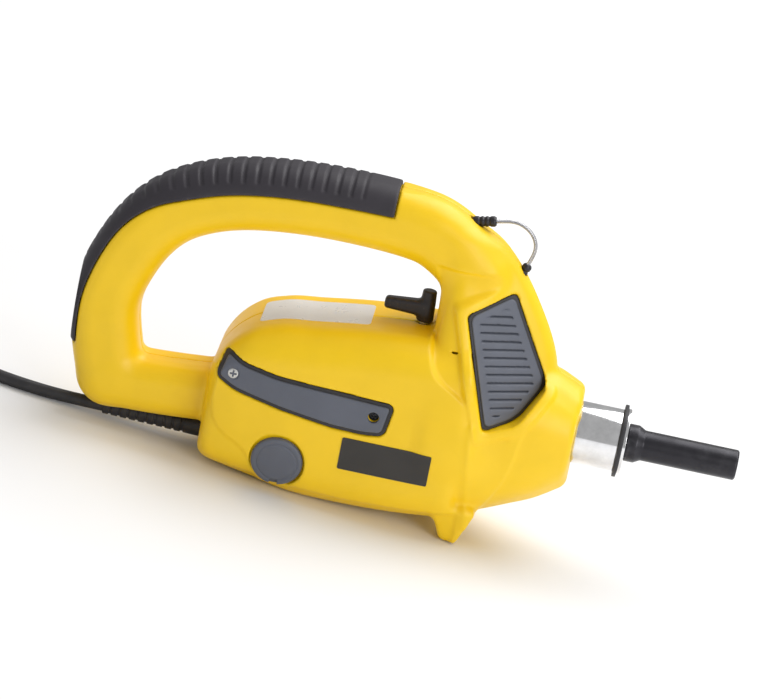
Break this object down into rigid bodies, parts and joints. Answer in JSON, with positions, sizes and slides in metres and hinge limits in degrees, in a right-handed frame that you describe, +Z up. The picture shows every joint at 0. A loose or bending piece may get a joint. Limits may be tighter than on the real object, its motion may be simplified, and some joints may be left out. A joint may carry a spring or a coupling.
{
  "type": "power screed drive unit",
  "caption": "Hand-held electric drive unit for a concrete screed or poker, with a loop handle, rubber grip, side vents, chrome quick coupling and output shaft.",
  "frame": {"origin": "middle of the object's footprint on the floor, cord left out", "axes": "+X towards the output shaft, +Z up, +Y to the tool's left"},
  "size_m": [0.6516, 0.142, 0.198],
  "materials": {
    "yellow_shell": "fine moulded texture, semi-matt yellow",
    "grip_rubber": "ribbed soft overmould",
    "grey_trim": "satin moulded plastic",
    "black_plastic": "semi-gloss black plastic",
    "white_plastic": "moulded",
    "dark_film": "printed film, blank",
    "silver_film": "brushed foil label, blank",
    "zinc_screw": "zinc plated",
    "black_steel": "black oxide",
    "wire_steel": "stranded wire",
    "ground_steel": "ground",
    "copper": "machined copper",
    "lamination": "stacked sheets",
    "winding": "lacquered copper wire",
    "brass": "pressed sheet",
    "carbon": "pressed carbon",
    "cast_aluminium": "die cast",
    "chrome_sleeve": "polished chrome",
    "black_rubber": "smooth rubber"
  },
  "bodies": {
    "root": {"housing_left": "yellow_shell", "housing_right": "yellow_shell", "handle_grip": "grip_rubber", "vent_panel_right": "grey_trim", "vent_panel_left": "grey_trim", "side_strip_right": "grey_trim", "side_strip_left": "grey_trim", "round_cap_right": "grey_trim", "round_cap_left": "grey_trim", "strip_rear_screws": "zinc_screw", "strip_front_screws": "black_steel", "side_decals": "dark_film", "rating_plate": "silver_film", "housing_screws": "zinc_screw", "hanging_loop": "wire_steel", "loop_ferrules": "black_plastic", "stator_core": "lamination", "stator_windings": "winding", "brush_holders": "brass", "carbon_brushes": "carbon", "brush_springs": "ground_steel", "nose_bearing_housing": "cast_aluminium", "coupling_screws": "zinc_screw", "shaft_seal": "black_rubber", "coupling_body": "ground_steel", "locking_balls": "ground_steel", "coupling_spring": "ground_steel", "switch_body": "black_plastic", "capacitor": "grey_trim", "terminal_block": "white_plastic", "wiring": "black_rubber", "cord_clamp": "black_plastic", "clamp_screws": "zinc_screw", "cord_strain_relief": "black_rubber", "cord_inner_end": "black_rubber", "power_cord": "black_rubber", "cord_coil": "black_rubber", "cord_tail": "black_rubber", "cord_tie": "black_plastic", "power_plug": "black_rubber", "rear_bearing_outer": "ground_steel", "front_bearing_outer": "ground_steel", "nose_bearing_outer": "ground_steel"},
    "rotor": {"armature_shaft": "ground_steel", "commutator": "copper", "armature_core": "lamination", "armature_windings": "winding", "cooling_fan": "black_plastic", "shaft_coupler": "ground_steel", "output_shaft": "black_steel", "rear_bearing_inner": "ground_steel", "rear_bearing_balls": "ground_steel", "front_bearing_inner": "ground_steel", "front_bearing_balls": "ground_steel", "nose_bearing_inner": "ground_steel", "nose_bearing_balls": "ground_steel"},
    "sleeve": {"coupling_sleeve": "chrome_sleeve", "sleeve_ring": "black_rubber"},
    "lever": {"switch_lever": "black_plastic", "switch_spindle": "ground_steel"}
  },
  "joints": [
    {"name": "rotor_spin", "type": "hinge", "parent": "root", "child": "rotor", "pos_m": [0.10793, 0, 0.08084], "axis": [0.9951, 0, 0.0985], "continuous": true},
    {"name": "sleeve_pull", "type": "slide", "parent": "root", "child": "sleeve", "axis": [-0.9951, 0, -0.0985], "range_m": [0, 0.008], "stiffness_N_per_m": 1500, "springref_m": -0.003, "deforming": ["coupling_spring"]},
    {"name": "switch_turn", "type": "hinge", "parent": "root", "child": "lever", "pos_m": [0.00041, 0, 0.12546], "axis": [-0.0985, 0, 0.9951], "range_deg": [0, 90]}
  ]
}
